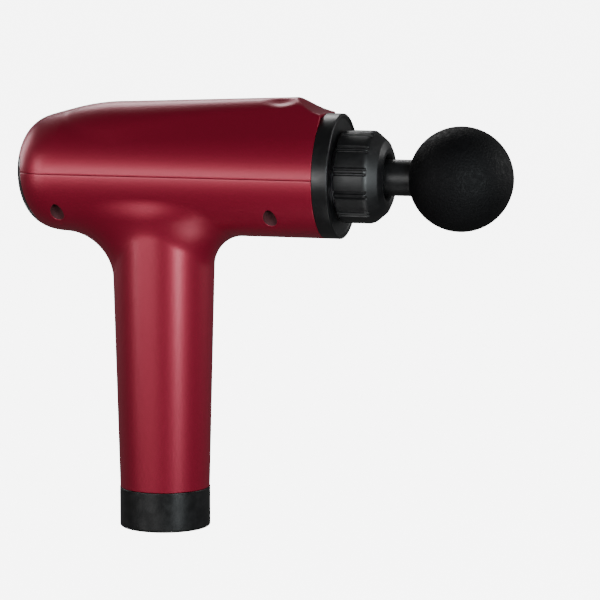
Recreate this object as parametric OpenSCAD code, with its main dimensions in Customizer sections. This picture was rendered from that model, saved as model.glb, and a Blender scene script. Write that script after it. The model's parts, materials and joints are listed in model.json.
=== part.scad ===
// Massage gun: a T-shaped percussion massager with a foam ball head.
// Origin: centre of the base's bottom face. +Z up the handle, +X towards the massage head.
// A motor in the top of the handle turns a crank, and a slotted yoke on the crank pin drives the piston along X.
// Every moving piece is drawn at mid stroke, with the head and the battery pack pushed home.

/* [Barrel] */
// Height of the barrel's axis above the base
axis_z = 174; // [165:1:185]
// Radius of the barrel's round lower half
barrel_r = 30; // [29:0.5:32]
// Front end of the painted shells
shell_front = 82.7; // [80:0.1:86]
// Start of the rounded rear end
rear_start = -45; // [-48:1:-42]
// Length of the rounded rear end
rear_len = 26.6; // [25:0.1:29]
// Thickness of the painted shells
wall = 2.2; // [1.8:0.1:2.4]

/* [Crest] */
// Height of the crest over the axis, at its rear end
crest_low = 34.1; // [32:0.1:35]
// Height of the crest over the axis, at its front corner
crest_high = 37.5; // [36:0.1:39]
// Front corner of the crest
crest_front = 69; // [66:0.5:71]
// Radius of the hollow between the crest and the front ring
scoop_r = 30; // [26:1:40]

/* [Handle] */
// Radius of the handle at its foot
handle_r = 22; // [21.9:0.1:23]
// Growth of the handle's radius for each millimetre of height
handle_draft = 0.026; // [0.02:0.001:0.03]
// Height of the black base, up to where the painted handle starts
foot_z = 19.6; // [18:0.1:22]
// Radius of the fillet under the rear of the barrel
fillet_rear = 24; // [20:1:26]
// Radius of the fillet under the front of the barrel
fillet_front = 16; // [13:1:18]

/* [Front] */
// Length of the front ring
ring_len = 7.8; // [6:0.1:9]
// Radius of the nose collar
collar_r = 22; // [21:0.1:23]
// Number of grip ribs on the nose collar
collar_ribs = 12; // [8:1:14]

/* [Drive] */
// Crank radius, half of the stroke
crank_r = 6; // [4:0.5:6]
// Outer radius of the piston tube
piston_r = 9.8; // [9.4:0.1:10]
// Outer radius of the motor's turning bell
bell_r = 19.6; // [18:0.1:20]

/* [Head] */
// Radius of the foam ball
ball_r = 25; // [22:0.5:26]
// Centre of the ball
ball_x = 148; // [146:0.5:152]
// Radius of the part of the stem that shows
stem_r = 8.7; // [8:0.1:9]

/* [Battery] */
// Radius of the black base
base_r = 22.2; // [22.1:0.1:23]
// Outer radius of the battery tube
tube_r = 19.7; // [19.6:0.05:19.8]
// Radius of one cell
cell_r = 9.15; // [9:0.05:9.2]
// Length of one cell
cell_len = 65; // [64:0.5:65]

/* [Hidden] */
$fn = 48;

gap = 0.15;
handle_wall = 1.7;
shell_colour = [0.55, 0.04, 0.09];
black = [0.06, 0.06, 0.065];
steel = [0.7, 0.7, 0.72];

// Rounded rear end: a squarish dome
dome_power = 2.7;
rear_tip = rear_start - rear_len;
slice = 0.02;
crest_rear = -17;
crest_fall_r = 105;
crest_nose_r = 14;
crest_tail_r = 26;

// Display panel's edge: an arc seen from the side, and a straight top
panel_top = 7.5;
panel_arc_r = 67;
panel_edge_x = -65.6;
panel_arc_x = panel_edge_x + panel_arc_r;
panel_arc_z = 4;
panel_wall = 2;

// Case screws rise through wells in the lower shell into bosses in the upper shell
screw_xs = [-46.5, 60.7];
screw_y = 22.8;
well_r = 3.1;
well_top = -9;
boss_r = 4.5;

// Front pieces along X
ring_back = shell_front;
ring_face = ring_back + ring_len;
spigot_r = barrel_r - wall - gap;
collar_back = ring_face + 0.6;
collar_len = 22.2;
collar_face = collar_back + collar_len;
collar_shoulder = collar_back + 17.3;
bore_r = piston_r + 0.6;
rib_turn = -11;

// Drive heights, from the motor up to the crank
bell_floor = 142.6;
stator_low = bell_floor + 4;
stator_high = 160;
base_low = 161;
plate_low = 164.4;
plate_high = 166.9;
wheel_low = 167.6;
wheel_high = 169.6;
yoke_low = axis_z - 4;
yoke_high = axis_z + 4;
pin_top = axis_z + 4.6;
shaft_r = 2.5;
pin_r = 2.5;
roller_r = 8;
roller_half = 2.5;
// The piston moves evenly with the crank's angle in this model, so the slot leaves the roller this much room
slot_play = 0.215 * crank_r + gap;

// Electronics behind the motor
board_face = -40.4;
motor_rim_r = 19.5;
lead_x = -21.7;

// Frame that carries the motor and the guide bush
frame_back = -24;
frame_wall_y = 22.4;
frame_wall = 3.4;
cover_low = axis_z + 10;
cover_high = axis_z + 11.8;
cover_screw_y = frame_wall_y - frame_wall / 2;
bulkhead_x = 50;
bulkhead_t = 4;
joint_lap = 0.2;
// The frame's floor is open from here forward, where the piston tube runs low
channel_x = 34;
guide_tube_r = 15.5;
guide_front = 98;
bush_r = 12.6;
bush_front = 93;
running = 0.05;

// Piston and head along X
piston_back = 42;
piston_front = 104;
socket_r = 8;
socket_back = 82;
liner_r = 7.5;
insert_r = 7.2;
insert_back = 84.5;

// Battery pack
tube_wall = 1.15;
cell_low = 4;
pack_top = 136.5;
block_low = 138.6;
block_high = 141.6;
jack_x = 13.6;
rocker_x = -12.9;
rocker_z = 4;
rocker_rest = 8;
rocker_half = 2.9;
rocker_pivot_r = 0.8;
rocker_pivot_half = 3.7;
light_y = 9;

// ---------- outline functions ----------

function dome(x, r, len) =
    x >= rear_start ? r : r * pow(max(0, 1 - pow((rear_start - x) / len, dome_power)), 1 / dome_power);

function crest(x, inset) = x >= crest_rear
    ? crest_low + (crest_high - crest_low) * (x - crest_rear) / (crest_front - crest_rear) - inset
    : min(crest_low - crest_fall_r + sqrt(pow(crest_fall_r, 2) - pow(crest_rear - x, 2)) - inset,
        dome(x, crest_low - inset, rear_len - inset));

function crest_round(x) =
    crest_tail_r + (crest_nose_r - crest_tail_r) * max(0, min(1, (x - crest_rear) / (crest_front - crest_rear)));

function handle_radius(z) = handle_r + handle_draft * (z - foot_z);

// Reach of the handle's fillet beyond the handle's own radius, at a height
function flare(z, r) =
    let (start = axis_z - barrel_r + 1 - r, up = max(0, min(r, z - start))) r - sqrt(r * r - up * up);

// ---------- shared shapes ----------

module along_x(x) { translate([x, 0, axis_z]) rotate([0, 90, 0]) children(); }
module rod_x(x0, x1, r) { along_x(x0) cylinder(h = x1 - x0, r = r); }
module rod_z(x, y, z0, z1, r) { translate([x, y, z0]) cylinder(h = z1 - z0, r = r); }
module turned(points) { along_x(0) rotate_extrude() polygon(points); }
module block(x0, x1, y0, y1, z0, z1) { translate([x0, y0, z0]) cube([x1 - x0, y1 - y0, z1 - z0]); }
module ring_x(x, major, minor) { along_x(x) rotate_extrude() translate([major, 0]) circle(r = minor); }
module at_screws() { for (x = screw_xs, side = [-1, 1]) translate([x, side * screw_y, axis_z]) children(); }

// One slice of the barrel, inset from the outer surface
module barrel_slice(x, inset) {
    r = dome(x, barrel_r - inset, rear_len - inset);
    height = crest(x, inset);
    top = min(r, height);
    round_r = min(crest_round(x) - inset, r);
    translate([x, 0, axis_z]) rotate([90, 0, 90]) linear_extrude(slice) hull() {
        polygon([for (a = [0 : 6 : 354]) [r * cos(a), (a < 180 ? top : r) * sin(a)]]);
        if (height > r) translate([0, height - round_r]) circle(r = round_r, $fn = 40);
    }
}

module barrel(inset, front) {
    tip = rear_tip + inset;
    steps = concat([for (s = [0.01, 0.06, 0.15, 0.3, 0.5, 0.75]) tip + s * (rear_start - tip)],
        [rear_start, -35, -26, crest_rear, 0, front]);
    for (i = [0 : len(steps) - 2]) hull() {
        barrel_slice(steps[i], inset);
        barrel_slice(steps[i + 1], inset);
    }
}

// One slice of the handle, with its fillets reaching fore and aft
module handle_slice(z, inset) {
    r = handle_radius(z) - inset;
    back = flare(z, fillet_rear);
    front = flare(z, fillet_front);
    translate([0, 0, z]) linear_extrude(slice) hull() {
        circle(r = r);
        translate([-1.75 * back, 0]) circle(r = r - 0.75 * back, $fn = 32);
        translate([1.75 * front, 0]) circle(r = r - 0.75 * front, $fn = 32);
    }
}

module handle(inset) {
    steps = [foot_z, 60, 121, 126, 131, 135, 139, 142, 144.6, axis_z - 14];
    for (i = [0 : len(steps) - 2]) hull() {
        handle_slice(steps[i], inset);
        handle_slice(steps[i + 1], inset);
    }
}

// Cylinder across the front top, centred so that it passes through the crest's corner and the ring's top
module scoop(grow) {
    run = [shell_front - crest_front, barrel_r - crest_high];
    half = norm(run) / 2;
    reach = sqrt(scoop_r * scoop_r - half * half);
    centre = [crest_front, crest_high] + run / 2 + reach * [-run[1], run[0]] / norm(run);
    translate([centre[0], 0, axis_z + centre[1]]) rotate([90, 0, 0])
        cylinder(h = 90, r = scoop_r + grow, center = true, $fn = 96);
}

// Region behind the display panel's edge
module panel_region(margin) {
    difference() {
        block(-80, panel_edge_x + 16, -40, 40, axis_z - 40, axis_z + panel_top + margin);
        translate([panel_arc_x + margin, 0, axis_z + panel_arc_z]) rotate([90, 0, 0])
            cylinder(h = 100, r = panel_arc_r, center = true, $fn = 180);
    }
}

module outer_body() {
    difference() {
        union() {
            barrel(0, shell_front);
            handle(0);
        }
        scoop(0);
    }
}

module cavity() {
    difference() {
        barrel(wall, shell_front + 1);
        scoop(wall);
    }
    handle(handle_wall);
    rod_z(0, 0, foot_z - 1, foot_z + 1, handle_r - handle_wall);
}

// ---------- housing ----------

module lower_shell() {
    color(shell_colour) difference() {
        union() {
            difference() {
                outer_body();
                cavity();
            }
            intersection() {
                outer_body();
                at_screws() translate([0, 0, -30]) cylinder(h = 30, r = boss_r, $fn = 32);
            }
        }
        block(-100, 100, -50, 50, axis_z - 0.05, axis_z + 60);
        panel_region(gap);
        at_screws() translate([0, 0, -40]) cylinder(h = 40 + well_top, r = well_r, $fn = 32);
        at_screws() translate([0, 0, -40]) cylinder(h = 50, r = 1.7, $fn = 24);
    }
}

module upper_shell() {
    boss_top = 12;
    color(shell_colour) difference() {
        union() {
            difference() {
                outer_body();
                cavity();
            }
            intersection() {
                outer_body();
                at_screws() cylinder(h = boss_top, r = boss_r, $fn = 32);
            }
        }
        block(-100, 100, -50, 50, -1, axis_z + 0.05);
        panel_region(gap);
        at_screws() translate([0, 0, -1]) cylinder(h = 10, r = 1.45, $fn = 24);
    }
}

// Black ring that closes the shells, with a spigot inside them
module front_ring() {
    edge = 0.5;
    inner = guide_tube_r + 0.2;
    color(black) turned([
        [inner, ring_back - 4], [spigot_r, ring_back - 4], [spigot_r, ring_back + 0.1],
        [barrel_r, ring_back + 0.1], [barrel_r, ring_face - edge], [barrel_r - edge, ring_face],
        [inner, ring_face]]);
}

// Ribbed collar round the piston's mouth
module nose_collar() {
    inner = guide_tube_r + 0.2;
    rib_len = 16;
    color(black) {
        difference() {
            turned([
                [inner, collar_back], [collar_r, collar_back], [collar_r, collar_shoulder],
                [collar_r - 1.6, collar_shoulder + 2.3], [collar_r - 3.8, collar_shoulder + 4.2],
                [13, collar_face], [bore_r, collar_face - 1.8], [bore_r, 103], [inner, 100]]);
            for (i = [0 : collar_ribs - 1]) rotate_about_axis(i) along_x(collar_back - 1)
                translate([0, collar_r, 0]) translate([-1.7, -0.6, 0]) cube([3.4, 2, rib_len + 1]);
        }
        for (i = [0 : collar_ribs - 1]) rotate_about_axis(i) along_x(collar_back)
            translate([-0.5, collar_r - 0.9, 0]) cube([1, 1.2, rib_len]);
    }
}

module rotate_about_axis(i) {
    translate([0, 0, axis_z]) rotate([360 / collar_ribs * i + rib_turn, 0, 0]) translate([0, 0, -axis_z]) children();
}

// Touch panel that forms the rear face
module display_panel() {
    color([0.02, 0.02, 0.02]) intersection() {
        difference() {
            barrel(0.05, 20);
            barrel(panel_wall, 21);
        }
        panel_region(0);
    }
}

module display_board() {
    color([0.05, 0.3, 0.12]) {
        rod_x(-60.5, -59, 17);
        for (y = [-9, 0, 9]) translate([0, y, 0]) rod_x(-62.2, -60.5, 1.5);
        block(-59, -56.5, -5, 5, axis_z - 5, axis_z + 5);
    }
}

module screw(length, head_r, shank_r, head_h) {
    cylinder(h = length, r = shank_r);
    difference() {
        translate([0, 0, -head_h]) cylinder(h = head_h, r = head_r);
        translate([-head_r * 0.62, -0.4, -head_h - 1]) cube([head_r * 1.24, 0.8, 1.9]);
        translate([-0.4, -head_r * 0.62, -head_h - 1]) cube([0.8, head_r * 1.24, 1.9]);
    }
}

module case_screws() { color(steel) at_screws() translate([0, 0, well_top]) screw(15.5, 2.7, 1.4, 1.8); }

// ---------- drive frame, fixed in the housing ----------

module mech_frame() {
    color(steel) difference() {
        union() {
            block(frame_back, bulkhead_x + bulkhead_t, -frame_wall_y, frame_wall_y, plate_low, plate_high);
            frame_sides(plate_low, cover_low);
            block(bulkhead_x, bulkhead_x + bulkhead_t, -frame_wall_y, frame_wall_y, plate_low, cover_low);
            rod_x(bulkhead_x + bulkhead_t - joint_lap, guide_front, guide_tube_r);
        }
        rod_x(channel_x, guide_front + 1, bush_r);
        rod_z(0, 0, plate_low - 1, plate_high + 1, 9);
        at_motor_screws() cylinder(h = 30, r = 1.6, center = true);
        at_cover_screws() cylinder(h = 12, r = 1.02, center = true);
    }
}

module frame_sides(low, high) {
    for (side = [-1, 1])
        block(frame_back, bulkhead_x + bulkhead_t, min(side * frame_wall_y, side * (frame_wall_y - frame_wall)),
            max(side * frame_wall_y, side * (frame_wall_y - frame_wall)), low, high);
}

// Lid over the crank, open above the crank pin
module frame_cover() {
    color(steel) difference() {
        block(frame_back, bulkhead_x + bulkhead_t - 2 * joint_lap, -frame_wall_y, frame_wall_y,
            cover_low, cover_high);
        rod_z(0, 0, cover_low - 1, cover_high + 1, 12);
        block(26, 42, -8, 8, cover_low - 1, cover_high + 1);
        at_cover_screws() cylinder(h = 30, r = 1.02, center = true);
    }
}

module at_cover_screws() {
    for (x = [-16, 44], side = [-1, 1]) translate([x, side * cover_screw_y, cover_high]) children();
}

module frame_screws() {
    color(steel) at_cover_screws() rotate([180, 0, 0]) screw(5.4, 1.7, 1.0, 1.2);
}

// Rubber feet between the frame and the lower shell
module frame_dampers() {
    color(black) for (x = [-20, 42], side = [-1, 1]) rod_z(x, side * 18, axis_z - 18.6, plate_low, 2.4);
}

module guide_bush() {
    color([0.75, 0.6, 0.3]) difference() {
        rod_x(bulkhead_x + 4, bush_front, bush_r - 0.02);
        rod_x(bulkhead_x, bush_front + 1, piston_r + running);
    }
}

module wiper_seal() {
    color(black) difference() {
        rod_x(bush_front + 0.3, bush_front + 3.6, bush_r - 0.02);
        rod_x(bush_front, bush_front + 4, piston_r + running);
    }
}

// ---------- motor, fixed pieces ----------

module at_motor_screws() {
    for (a = [45 : 90 : 315]) rotate([0, 0, a]) translate([15.5, 0, plate_high]) children();
}

module motor_base() {
    color(steel) difference() {
        union() {
            rod_z(0, 0, base_low, plate_low, motor_rim_r);
            rod_z(0, 0, stator_low - 0.5, base_low, 5.6);
        }
        rod_z(0, 0, stator_low - 1, plate_low + 1, 4.5);
        at_motor_screws() cylinder(h = 30, r = 1.3, center = true);
    }
}

module motor_stator() {
    teeth = 12;
    color([0.35, 0.35, 0.37]) difference() {
        union() {
            rod_z(0, 0, stator_low + 2, stator_high - 2, 8.5);
            for (i = [0 : teeth - 1]) rotate([0, 0, 360 / teeth * i])
                block(8, 14.5, -1.3, 1.3, stator_low + 2, stator_high - 2);
            difference() {
                rod_z(0, 0, stator_low + 2, stator_high - 2, 15.6);
                rod_z(0, 0, stator_low, stator_high, 14.2);
                for (i = [0 : teeth - 1]) rotate([0, 0, 360 / teeth * (i + 0.5)])
                    block(13, 17, -0.7, 0.7, stator_low, stator_high);
            }
        }
        rod_z(0, 0, stator_low, stator_high, 5.62);
    }
}

module stator_windings() {
    teeth = 12;
    color([0.72, 0.38, 0.16]) for (i = [0 : teeth - 1]) rotate([0, 0, 360 / teeth * i]) difference() {
        block(9.6, 13.9, -2.3, 2.3, stator_low + 0.8, stator_high - 0.8);
        block(9, 15, -1.35, 1.35, stator_low + 1.95, stator_high - 1.95);
    }
}

module ball_race(z, half, r_in, r_out) {
    difference() {
        rod_z(0, 0, z - half, z + half, r_out);
        rod_z(0, 0, z - half - 1, z + half + 1, r_in);
        translate([0, 0, z + half - 0.3]) difference() {
            cylinder(h = 1, r = r_out - (r_out - r_in) * 0.3);
            translate([0, 0, -1]) cylinder(h = 3, r = r_in + (r_out - r_in) * 0.3);
        }
    }
}

module motor_bearings() {
    color(steel) for (z = [stator_low + 2.2, plate_low - 2.2]) ball_race(z, 2, shaft_r + 0.02, 4.48);
}

module motor_screws() {
    color(steel) at_motor_screws() {
        translate([0, 0, -5]) cylinder(h = 5.1, r = 1.2);
        cylinder(h = 0.35, r = 2.2);
    }
}

// ---------- electronics, fixed in the housing ----------

module drive_board() {
    color([0.05, 0.3, 0.12]) difference() {
        block(board_face - 1.6, board_face, -20, 20, axis_z - 16, axis_z + 14);
        for (y = [-17, 17], z = [-13, 11])
            translate([-45, y, axis_z + z]) rotate([0, 90, 0]) cylinder(h = 10, r = 1.2);
    }
    color(black) for (y = [-12, -4, 4]) block(-44, -42, y, y + 6, axis_z - 12, axis_z - 6);
    color(black) block(-43.2, -42, -8, 0, axis_z, axis_z + 8);
}

module board_capacitors() {
    color([0.1, 0.12, 0.3]) for (y = [-12, 12]) translate([board_face, y, axis_z + 2]) rotate([0, 90, 0])
        cylinder(h = 11, r = 4);
}

// Sagging wire from the drive board to the motor's rim, in a plane of constant Y
module motor_lead(y) {
    from = board_face + 0.65;
    to = -sqrt(pow(motor_rim_r, 2) - pow(y, 2)) - 0.7;
    sag_r = 15;
    half = (to - from) / 2;
    turn = asin(half / sag_r);
    translate([(from + to) / 2, y, base_low + 1.7 + sag_r * cos(turn)]) rotate([90, 0, 0])
        rotate([0, 0, 270 - turn]) rotate_extrude(angle = 2 * turn) translate([sag_r, 0]) circle(r = 0.8);
}

module motor_leads() { color([0.8, 0.5, 0.1]) for (y = [5, 8, 11]) motor_lead(y); }

module power_leads() {
    rise = lead_x - board_face;
    color([0.7, 0.05, 0.05]) for (y = [-1.6, 1.6]) translate([board_face, y, block_high - 0.5])
        rotate([90, 0, 0]) rotate_extrude(angle = 90) translate([rise, 0]) circle(r = 0.9);
}

// Insulating block over the battery pack, with sprung contact pins
module contact_block() {
    color(black) difference() {
        union() {
            rod_z(0, 0, block_low, block_high, 19.4);
            for (a = [0 : 90 : 270]) rotate([0, 0, a]) block(18, 22.8, -3, 3, block_low + 0.5, block_high - 0.5);
        }
        for (x = [-8, 0, 8]) rod_z(x, 0, block_low - 1, block_high + 1, 1.5);
    }
}

module contact_pins() {
    color([0.85, 0.7, 0.3]) for (x = [-8, 0, 8]) {
        rod_z(x, 0, pack_top + 0.5, block_high + 0.4, 1.4);
    }
}

// ---------- crank body ----------

module motor_bell() {
    color(steel) difference() {
        rod_z(0, 0, bell_floor, stator_high + 0.4, bell_r);
        rod_z(0, 0, bell_floor + 2, stator_high + 1, bell_r - 1.4);
        rod_z(0, 0, bell_floor - 1, bell_floor + 3, shaft_r + 0.01);
        for (a = [0 : 60 : 300]) rotate([0, 0, a]) rod_z(11.5, 0, bell_floor - 1, bell_floor + 3, 3);
    }
}

module bell_magnets() {
    poles = 14;
    color([0.3, 0.3, 0.32]) for (i = [0 : poles - 1]) rotate([0, 0, 360 / poles * i]) intersection() {
        difference() {
            rod_z(0, 0, stator_low + 1.5, stator_high - 0.5, bell_r - 1.42);
            rod_z(0, 0, stator_low, stator_high + 1, 16.4);
        }
        block(10, 20, -3.3, 3.3, stator_low, stator_high + 1);
    }
}

module motor_shaft() { color(steel) rod_z(0, 0, bell_floor, wheel_high - 0.01, shaft_r); }

// Crank wheel with a heavier side opposite the pin
module crank_wheel() {
    color(steel) difference() {
        union() {
            rod_z(0, 0, wheel_low, wheel_high, 9.5);
            intersection() {
                rod_z(0, 0, wheel_low, wheel_high, 18);
                block(-15, 15, -20, -1, wheel_low, wheel_high);
            }
        }
        rod_z(0, 0, wheel_low - 1, wheel_high + 1, shaft_r + 0.01);
        rod_z(0, crank_r, wheel_low - 1, wheel_high + 1, pin_r + 0.01);
    }
}

module crank_pin() {
    color(steel) {
        rod_z(0, crank_r, wheel_low, pin_top, pin_r);
        rod_z(0, crank_r, wheel_high + 0.01, axis_z - roller_half, pin_r + 0.9);
        rod_z(0, crank_r, axis_z + roller_half + 0.05, pin_top, pin_r + 0.9);
    }
}

module pin_bearing() {
    color([0.8, 0.8, 0.82]) translate([0, crank_r, 0]) ball_race(axis_z, roller_half - 0.02, pin_r + 0.01, roller_r);
}

// ---------- piston body ----------

module yoke() {
    slot = roller_r + slot_play;
    frame_x = slot + 4.5;
    end_y = crank_r + roller_r + 1;
    color([0.85, 0.85, 0.86]) {
        difference() {
            block(-frame_x, frame_x, -end_y - 3.5, end_y + 3.5, yoke_low, yoke_high);
            block(-slot, slot, -crank_r, crank_r, yoke_low - 1, yoke_high + 1);
            for (side = [-1, 1]) intersection() {
                rod_z(0, side * crank_r, yoke_low - 1, yoke_high + 1, slot);
                block(-slot - 1, slot + 1, -end_y, end_y, yoke_low - 1, yoke_high + 1);
            }
        }
        block(frame_x - 0.5, piston_back, -5, 5, yoke_low, yoke_high);
        difference() {
            rod_x(piston_back - 0.5, piston_back + 16, 5);
            rod_z(piston_back + 6, 0, axis_z - 6, axis_z + 6, 1.5);
        }
    }
}

module piston_tube() {
    color(steel) difference() {
        rod_x(piston_back, piston_front, piston_r);
        rod_x(socket_back, piston_front + 1, socket_r);
        rod_x(piston_back - 1, socket_back - 4, 5.02);
        rod_z(piston_back + 6, 0, axis_z - 20, axis_z + 20, 1.5);
    }
}

module piston_pin() { color(steel) rod_z(piston_back + 6, 0, axis_z - 8.9, axis_z + 8.9, 1.48); }

module socket_liner() {
    color(black) difference() {
        rod_x(socket_back + 0.2, piston_front - 0.5, socket_r - 0.02);
        rod_x(socket_back - 1, piston_front + 1, liner_r);
    }
}

// ---------- head body ----------

module head_stem() {
    color(black) difference() {
        union() {
            rod_x(insert_back + 1, piston_front + 0.15, insert_r);
            along_x(insert_back) cylinder(h = 1.01, r1 = insert_r - 1, r2 = insert_r);
            rod_x(piston_front + 0.15, ball_x - 8, stem_r);
        }
        for (x = [89, 98]) ring_x(x, 6.35, 1.1);
        rod_x(insert_back - 1, insert_back + 12, 4.5);
    }
}

module head_seals() { color(black) for (x = [89, 98]) ring_x(x, 6.35, 1.08); }

module head_ball() {
    color(black) difference() {
        along_x(ball_x) sphere(r = ball_r, $fn = 96);
        rod_x(ball_x - ball_r - 1, ball_x - 8 + 0.1, stem_r + 0.02);
    }
}

// ---------- battery body ----------

module battery_base() {
    edge = 0.5;
    floor_top = 2.6;
    inner = tube_r + 0.05;
    color(black) difference() {
        rotate_extrude() polygon([[0, 0], [base_r - edge, 0], [base_r, edge], [base_r, foot_z - gap],
            [inner, foot_z - gap], [inner, floor_top], [0, floor_top]]);
        rod_z(jack_x, 0, -1, 4, 4.62);
        block(rocker_x - 3.92, rocker_x + 3.92, -6.42, 6.42, -1, 4);
        rod_z(0, light_y, -1, 4, 1.02);
    }
}

module battery_tube() {
    color([0.12, 0.12, 0.13]) difference() {
        rod_z(0, 0, 2.65, pack_top, tube_r);
        rod_z(0, 0, 2, pack_top - 1.6, tube_r - tube_wall);
        seal_ring(0.63);
        for (x = [-8, 0, 8]) rod_z(x, 0, pack_top - 3, pack_top + 1, 2.52);
    }
}

module seal_ring(r) { translate([0, 0, foot_z + 3]) rotate_extrude() translate([tube_r - 0.35, 0]) circle(r = r); }
module tube_seal() { color(black) seal_ring(0.6); }

module battery_cells() {
    color([0.1, 0.4, 0.6]) for (side = [-1, 1], level = [0, 1])
        translate([0, side * (cell_r + 0.1), cell_low + level * (cell_len + 0.5)]) {
            cylinder(h = cell_len - 0.6, r = cell_r);
            cylinder(h = cell_len, r = 3);
        }
}

// Plastic wedges that hold the cells in the tube
module cell_spacer() {
    color([0.9, 0.9, 0.85]) for (side = [-1, 1], z = [30, 96]) difference() {
        intersection() {
            rod_z(0, 0, z, z + 8, tube_r - tube_wall - 0.05);
            block(min(side * 4, side * 19), max(side * 4, side * 19), -12, 12, z - 1, z + 9);
        }
        for (y = [-1, 1]) rod_z(0, y * (cell_r + 0.1), z - 1, z + 9, cell_r + 0.05);
    }
}

module battery_board() {
    color([0.05, 0.3, 0.12]) block(10.2, 11.6, -8, 8, 44, 84);
    color(black) for (z = [50, 62, 74]) block(11.6, 13.2, -4, 4, z, z + 6);
}

module battery_contacts() {
    color([0.85, 0.7, 0.3]) for (x = [-8, 0, 8]) rod_z(x, 0, pack_top - 1.5, pack_top + 0.4, 2.5);
}

// Round charging socket: a sleeve with a centre pin
module charge_socket() {
    color(black) difference() {
        rod_z(jack_x, 0, 0.4, 13, 4.6);
        rod_z(jack_x, 0, -1, 10.4, 2.85);
        rod_z(jack_x, 0, 9, 14, 1.02);
    }
}

module charge_pin() { color(steel) rod_z(jack_x, 0, 1.4, 13.8, 1); }

module charge_light() { color([0.9, 0.9, 0.9]) rod_z(0, light_y, 0.3, 3, 1); }

module rocker_frame() {
    color(black) difference() {
        block(rocker_x - 3.9, rocker_x + 3.9, -6.4, 6.4, 0.4, 11.5);
        block(rocker_x - 3.2, rocker_x + 3.2, -5.6, 5.6, -1, 10.3);
        rocker_pivot(rocker_pivot_r + running, rocker_pivot_half + gap);
    }
}

module rocker_pivot(r, half) {
    translate([rocker_x, 0, rocker_z]) rotate([0, 90, 0]) cylinder(h = 2 * half, r = r, center = true);
}

// Rocker with a shallow V face on a pivot pin, at rest with one end pressed in
module power_rocker() {
    color([0.08, 0.08, 0.08]) {
        translate([rocker_x, 0, rocker_z]) rotate([rocker_rest, 0, 0])
            rotate([90, 0, 90]) linear_extrude(2 * rocker_half, center = true)
                polygon([[-5, -2.2], [-3.8, 2.8], [3.8, 2.8], [5, -2.2], [0, -1.4]]);
        rocker_pivot(rocker_pivot_r, rocker_pivot_half);
    }
}

// ---------- build ----------

lower_shell();
upper_shell();
front_ring();
nose_collar();
display_panel();
display_board();
case_screws();
mech_frame();
frame_cover();
frame_screws();
frame_dampers();
guide_bush();
wiper_seal();
motor_base();
motor_stator();
stator_windings();
motor_bearings();
motor_screws();
drive_board();
board_capacitors();
motor_leads();
power_leads();
contact_block();
contact_pins();
motor_bell();
bell_magnets();
motor_shaft();
crank_wheel();
crank_pin();
pin_bearing();
yoke();
piston_tube();
piston_pin();
socket_liner();
head_stem();
head_ball();
head_seals();
battery_base();
battery_tube();
battery_cells();
cell_spacer();
battery_board();
battery_contacts();
tube_seal();
charge_socket();
charge_pin();
charge_light();
rocker_frame();
power_rocker();
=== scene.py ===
"""Massage gun in satin red paint and black plastic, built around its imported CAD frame.

Shapes are worked out in millimetres and turned into metres when a mesh is made. The painted
body and the touch panel are skins of one smooth solid, given by a distance-like field.
"""

import json
import math

import bpy
import numpy as np
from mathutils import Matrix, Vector


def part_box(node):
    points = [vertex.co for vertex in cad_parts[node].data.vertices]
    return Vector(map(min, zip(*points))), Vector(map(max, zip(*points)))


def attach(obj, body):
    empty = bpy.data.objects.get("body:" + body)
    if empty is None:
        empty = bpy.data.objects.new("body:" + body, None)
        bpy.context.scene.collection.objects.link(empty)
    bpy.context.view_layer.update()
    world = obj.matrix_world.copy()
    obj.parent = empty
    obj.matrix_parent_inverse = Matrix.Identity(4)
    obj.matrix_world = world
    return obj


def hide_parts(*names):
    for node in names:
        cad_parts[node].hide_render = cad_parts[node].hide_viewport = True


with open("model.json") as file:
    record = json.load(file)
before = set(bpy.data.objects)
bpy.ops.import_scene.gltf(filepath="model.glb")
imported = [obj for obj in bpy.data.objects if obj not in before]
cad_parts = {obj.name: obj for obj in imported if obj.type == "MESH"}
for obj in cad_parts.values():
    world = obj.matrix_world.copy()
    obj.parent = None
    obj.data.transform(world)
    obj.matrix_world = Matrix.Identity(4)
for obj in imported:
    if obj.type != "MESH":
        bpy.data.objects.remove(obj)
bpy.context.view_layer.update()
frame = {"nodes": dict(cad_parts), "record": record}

MM = 0.001


def span(node):
    """Lowest and highest corner of a CAD node, in millimetres."""
    low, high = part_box(node)
    return np.array(low) / MM, np.array(high) / MM


# ---------- dimensions, from the frame ----------

ring_low, ring_high = span("front_ring")
collar_low, collar_high = span("nose_collar")
stem_low, stem_high = span("head_stem")
ball_low, ball_high = span("head_ball")
base_low, base_high = span("battery_base")
lower_low, lower_high = span("lower_shell")
upper_high = span("upper_shell")[1]
panel_low, panel_high = span("display_panel")
jack_low, jack_high = span("charge_socket")
rocker_low, rocker_high = span("rocker_frame")
key_low, key_high = span("power_rocker")
light_low, light_high = span("charge_light")
tube_low, tube_high = span("battery_tube")
seal_low, seal_high = span("tube_seal")

AXIS = (ring_low[2] + ring_high[2]) / 2
BARREL_R = (ring_high[1] - ring_low[1]) / 2
SHELL_FRONT = lower_high[0]
FOOT = lower_low[2]
REAR_TIP = panel_low[0]
BASE_R = base_high[0]
SHELL_T = 1.7
GAP = 0.10
LIP = 0.16

# Rounded rear end
REAR_START = -45.0
REAR_LEN = REAR_START - REAR_TIP
DOME_POWER = 2.7

# Crest along the top, over the barrel's axis
CREST_HIGH = upper_high[2] - AXIS
CREST_LOW = CREST_HIGH - 3.4
CREST_REAR = -17.0
CREST_FRONT = 69.0
CREST_FALL_R = 105.0
CREST_TAIL = 28.3
CREST_ROUND = (26.0, 14.0)
SCOOP_R = 30.0
THUMB = (61.5, 8.7, 37.4)

# Handle
HANDLE_R = 22.0
HANDLE_DRAFT = 0.026
FILLET_REAR = 24.0
FILLET_FRONT = 16.0
FILLET_SIDE = 9.0

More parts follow.
